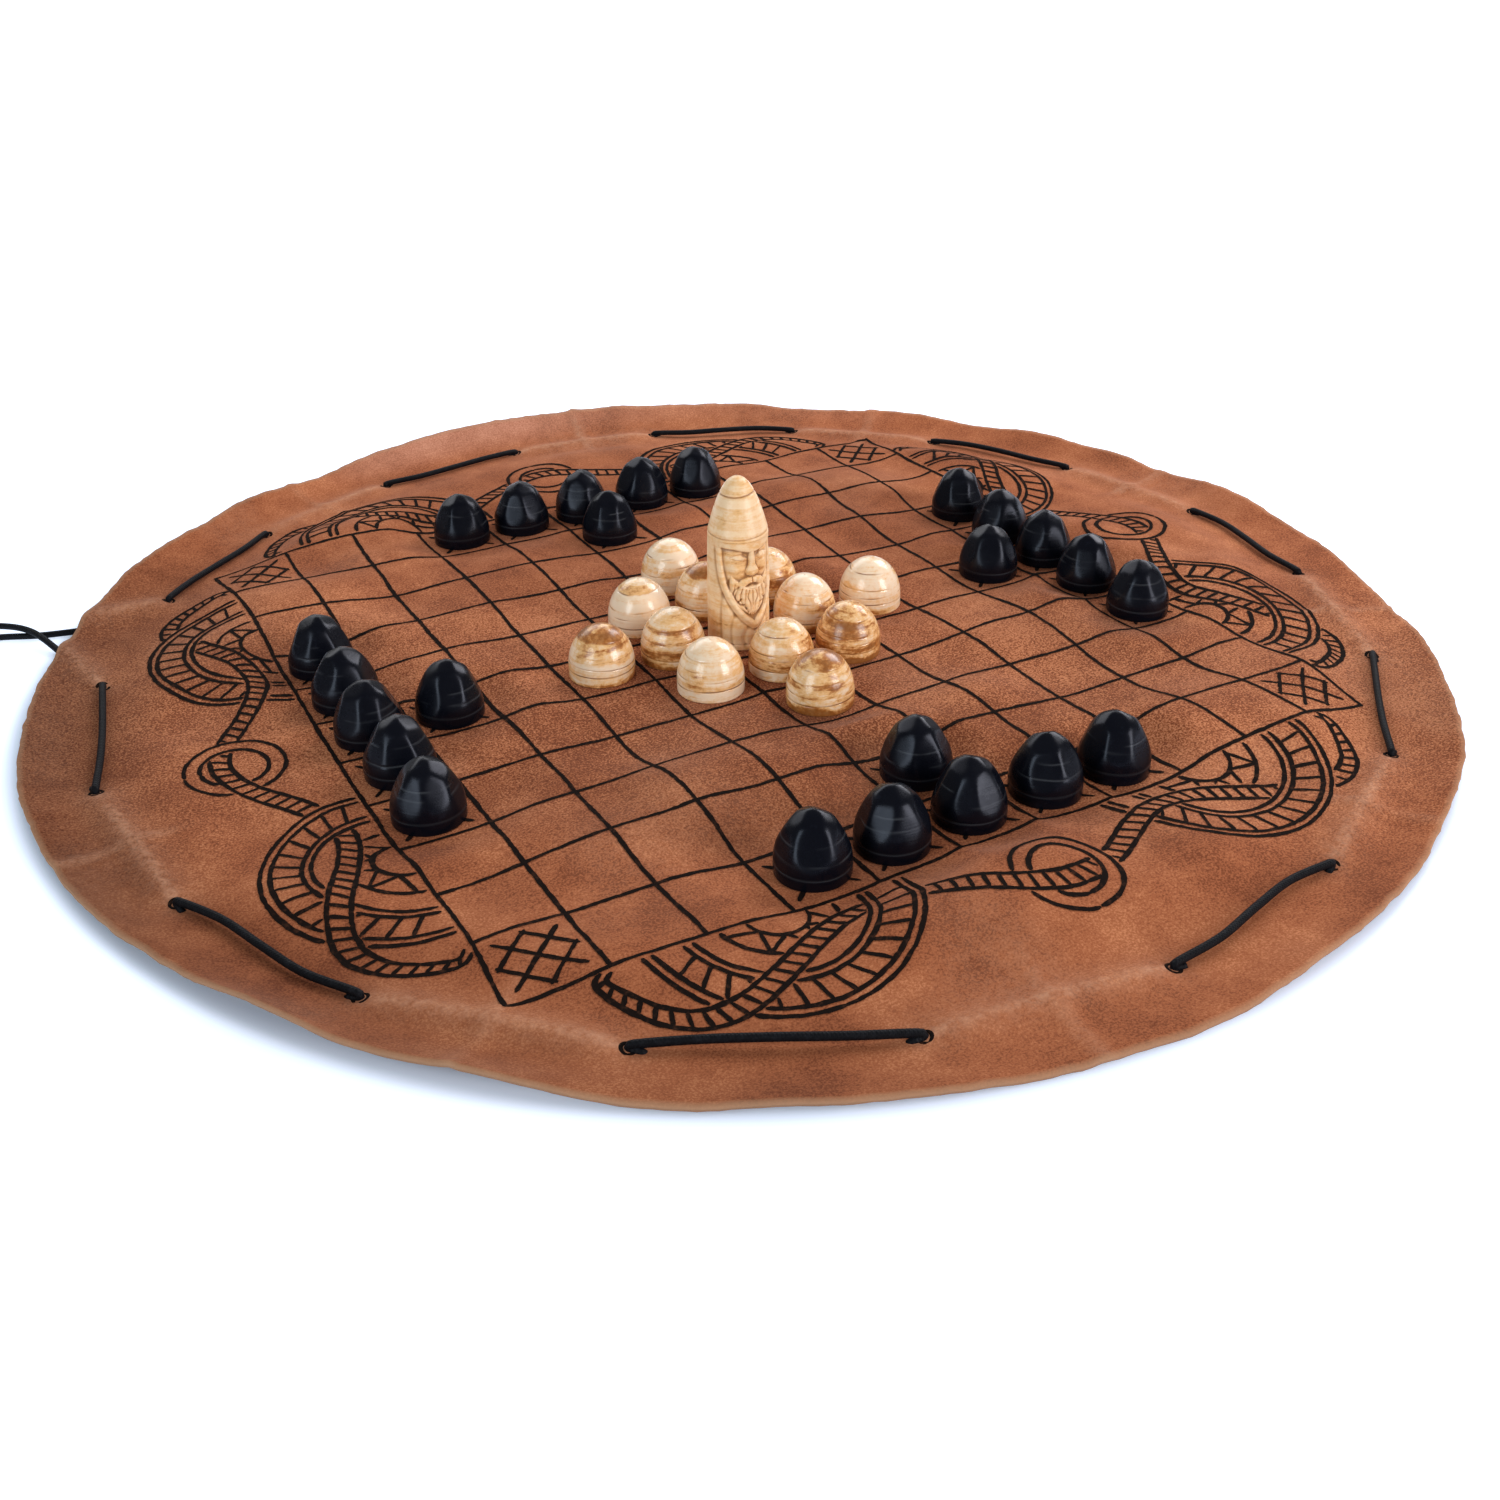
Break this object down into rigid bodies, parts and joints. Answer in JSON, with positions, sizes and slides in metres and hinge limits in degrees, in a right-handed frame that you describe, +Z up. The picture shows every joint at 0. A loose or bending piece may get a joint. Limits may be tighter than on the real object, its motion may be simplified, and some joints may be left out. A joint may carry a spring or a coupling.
{
  "type": "hnefatafl board",
  "caption": "Round leather hnefatafl board with a scorched square field and a laced drawstring that turns it into a pouch, set with loose faceted, domed and carved playing pieces.",
  "frame": {"origin": "on the table under the middle of the field", "axes": "+Z up, +X and +Y along the lines of the field, the king faces -Y"},
  "size_m": [0.5388, 0.4945, 0.0655],
  "materials": {
    "leather": "brown split leather with a short suede nap, near-black scorched lines and pale scuffed creases",
    "cord": "black waxed cord with a slight sheen",
    "black_wood": "blue-black stain, satin, with fine scored lines and ground facets",
    "pale_wood": "pale polished wood with level grain, brown stain in patches and thin scored rings",
    "king_wood": "pale polished carving with brown stain left in the cuts"
  },
  "bodies": {
    "board": {"leather_board": "leather", "drawstring": "cord", "tail_far": "cord", "tail_near": "cord", "knot_far": "cord", "knot_near": "cord"},
    "attacker_01": {"attacker_01": "black_wood"},
    "attacker_02": {"attacker_02": "black_wood"},
    "attacker_03": {"attacker_03": "black_wood"},
    "attacker_04": {"attacker_04": "black_wood"},
    "attacker_05": {"attacker_05": "black_wood"},
    "attacker_06": {"attacker_06": "black_wood"},
    "attacker_07": {"attacker_07": "black_wood"},
    "attacker_08": {"attacker_08": "black_wood"},
    "attacker_09": {"attacker_09": "black_wood"},
    "attacker_10": {"attacker_10": "black_wood"},
    "attacker_11": {"attacker_11": "black_wood"},
    "attacker_12": {"attacker_12": "black_wood"},
    "attacker_13": {"attacker_13": "black_wood"},
    "attacker_14": {"attacker_14": "black_wood"},
    "attacker_15": {"attacker_15": "black_wood"},
    "attacker_16": {"attacker_16": "black_wood"},
    "attacker_17": {"attacker_17": "black_wood"},
    "attacker_18": {"attacker_18": "black_wood"},
    "attacker_19": {"attacker_19": "black_wood"},
    "attacker_20": {"attacker_20": "black_wood"},
    "attacker_21": {"attacker_21": "black_wood"},
    "attacker_22": {"attacker_22": "black_wood"},
    "attacker_23": {"attacker_23": "black_wood"},
    "attacker_24": {"attacker_24": "black_wood"},
    "defender_01": {"defender_01": "pale_wood"},
    "defender_02": {"defender_02": "pale_wood"},
    "defender_03": {"defender_03": "pale_wood"},
    "defender_04": {"defender_04": "pale_wood"},
    "defender_05": {"defender_05": "pale_wood"},
    "defender_06": {"defender_06": "pale_wood"},
    "defender_07": {"defender_07": "pale_wood"},
    "defender_08": {"defender_08": "pale_wood"},
    "defender_09": {"defender_09": "pale_wood"},
    "defender_10": {"defender_10": "pale_wood"},
    "defender_11": {"defender_11": "pale_wood"},
    "defender_12": {"defender_12": "pale_wood"},
    "king": {"king": "king_wood"}
  },
  "joints": [
    {"name": "attacker_01_lift", "type": "slide", "parent": "board", "child": "attacker_01", "axis": [0, 0, 1], "range_m": [0, 0.04]},
    {"name": "attacker_02_lift", "type": "slide", "parent": "board", "child": "attacker_02", "axis": [0, 0, 1], "range_m": [0, 0.04]},
    {"name": "attacker_03_lift", "type": "slide", "parent": "board", "child": "attacker_03", "axis": [0, 0, 1], "range_m": [0, 0.04]},
    {"name": "attacker_04_lift", "type": "slide", "parent": "board", "child": "attacker_04", "axis": [0, 0, 1], "range_m": [0, 0.04]},
    {"name": "attacker_05_lift", "type": "slide", "parent": "board", "child": "attacker_05", "axis": [0, 0, 1], "range_m": [0, 0.04]},
    {"name": "attacker_06_lift", "type": "slide", "parent": "board", "child": "attacker_06", "axis": [0, 0, 1], "range_m": [0, 0.04]},
    {"name": "attacker_07_lift", "type": "slide", "parent": "board", "child": "attacker_07", "axis": [0, 0, 1], "range_m": [0, 0.04]},
    {"name": "attacker_08_lift", "type": "slide", "parent": "board", "child": "attacker_08", "axis": [0, 0, 1], "range_m": [0, 0.04]},
    {"name": "attacker_09_lift", "type": "slide", "parent": "board", "child": "attacker_09", "axis": [0, 0, 1], "range_m": [0, 0.04]},
    {"name": "attacker_10_lift", "type": "slide", "parent": "board", "child": "attacker_10", "axis": [0, 0, 1], "range_m": [0, 0.04]},
    {"name": "attacker_11_lift", "type": "slide", "parent": "board", "child": "attacker_11", "axis": [0, 0, 1], "range_m": [0, 0.04]},
    {"name": "attacker_12_lift", "type": "slide", "parent": "board", "child": "attacker_12", "axis": [0, 0, 1], "range_m": [0, 0.04]},
    {"name": "attacker_13_lift", "type": "slide", "parent": "board", "child": "attacker_13", "axis": [0, 0, 1], "range_m": [0, 0.04]},
    {"name": "attacker_14_lift", "type": "slide", "parent": "board", "child": "attacker_14", "axis": [0, 0, 1], "range_m": [0, 0.04]},
    {"name": "attacker_15_lift", "type": "slide", "parent": "board", "child": "attacker_15", "axis": [0, 0, 1], "range_m": [0, 0.04]},
    {"name": "attacker_16_lift", "type": "slide", "parent": "board", "child": "attacker_16", "axis": [0, 0, 1], "range_m": [0, 0.04]},
    {"name": "attacker_17_lift", "type": "slide", "parent": "board", "child": "attacker_17", "axis": [0, 0, 1], "range_m": [0, 0.04]},
    {"name": "attacker_18_lift", "type": "slide", "parent": "board", "child": "attacker_18", "axis": [0, 0, 1], "range_m": [0, 0.04]},
    {"name": "attacker_19_lift", "type": "slide", "parent": "board", "child": "attacker_19", "axis": [0, 0, 1], "range_m": [0, 0.04]},
    {"name": "attacker_20_lift", "type": "slide", "parent": "board", "child": "attacker_20", "axis": [0, 0, 1], "range_m": [0, 0.04]},
    {"name": "attacker_21_lift", "type": "slide", "parent": "board", "child": "attacker_21", "axis": [0, 0, 1], "range_m": [0, 0.04]},
    {"name": "attacker_22_lift", "type": "slide", "parent": "board", "child": "attacker_22", "axis": [0, 0, 1], "range_m": [0, 0.04]},
    {"name": "attacker_23_lift", "type": "slide", "parent": "board", "child": "attacker_23", "axis": [0, 0, 1], "range_m": [0, 0.04]},
    {"name": "attacker_24_lift", "type": "slide", "parent": "board", "child": "attacker_24", "axis": [0, 0, 1], "range_m": [0, 0.04]},
    {"name": "defender_01_lift", "type": "slide", "parent": "board", "child": "defender_01", "axis": [0, 0, 1], "range_m": [0, 0.04]},
    {"name": "defender_02_lift", "type": "slide", "parent": "board", "child": "defender_02", "axis": [0, 0, 1], "range_m": [0, 0.04]},
    {"name": "defender_03_lift", "type": "slide", "parent": "board", "child": "defender_03", "axis": [0, 0, 1], "range_m": [0, 0.04]},
    {"name": "defender_04_lift", "type": "slide", "parent": "board", "child": "defender_04", "axis": [0, 0, 1], "range_m": [0, 0.04]},
    {"name": "defender_05_lift", "type": "slide", "parent": "board", "child": "defender_05", "axis": [0, 0, 1], "range_m": [0, 0.04]},
    {"name": "defender_06_lift", "type": "slide", "parent": "board", "child": "defender_06", "axis": [0, 0, 1], "range_m": [0, 0.04]},
    {"name": "defender_07_lift", "type": "slide", "parent": "board", "child": "defender_07", "axis": [0, 0, 1], "range_m": [0, 0.04]},
    {"name": "defender_08_lift", "type": "slide", "parent": "board", "child": "defender_08", "axis": [0, 0, 1], "range_m": [0, 0.04]},
    {"name": "defender_09_lift", "type": "slide", "parent": "board", "child": "defender_09", "axis": [0, 0, 1], "range_m": [0, 0.04]},
    {"name": "defender_10_lift", "type": "slide", "parent": "board", "child": "defender_10", "axis": [0, 0, 1], "range_m": [0, 0.04]},
    {"name": "defender_11_lift", "type": "slide", "parent": "board", "child": "defender_11", "axis": [0, 0, 1], "range_m": [0, 0.04]},
    {"name": "defender_12_lift", "type": "slide", "parent": "board", "child": "defender_12", "axis": [0, 0, 1], "range_m": [0, 0.04]},
    {"name": "king_lift", "type": "slide", "parent": "board", "child": "king", "axis": [0, 0, 1], "range_m": [0, 0.04]}
  ]
}
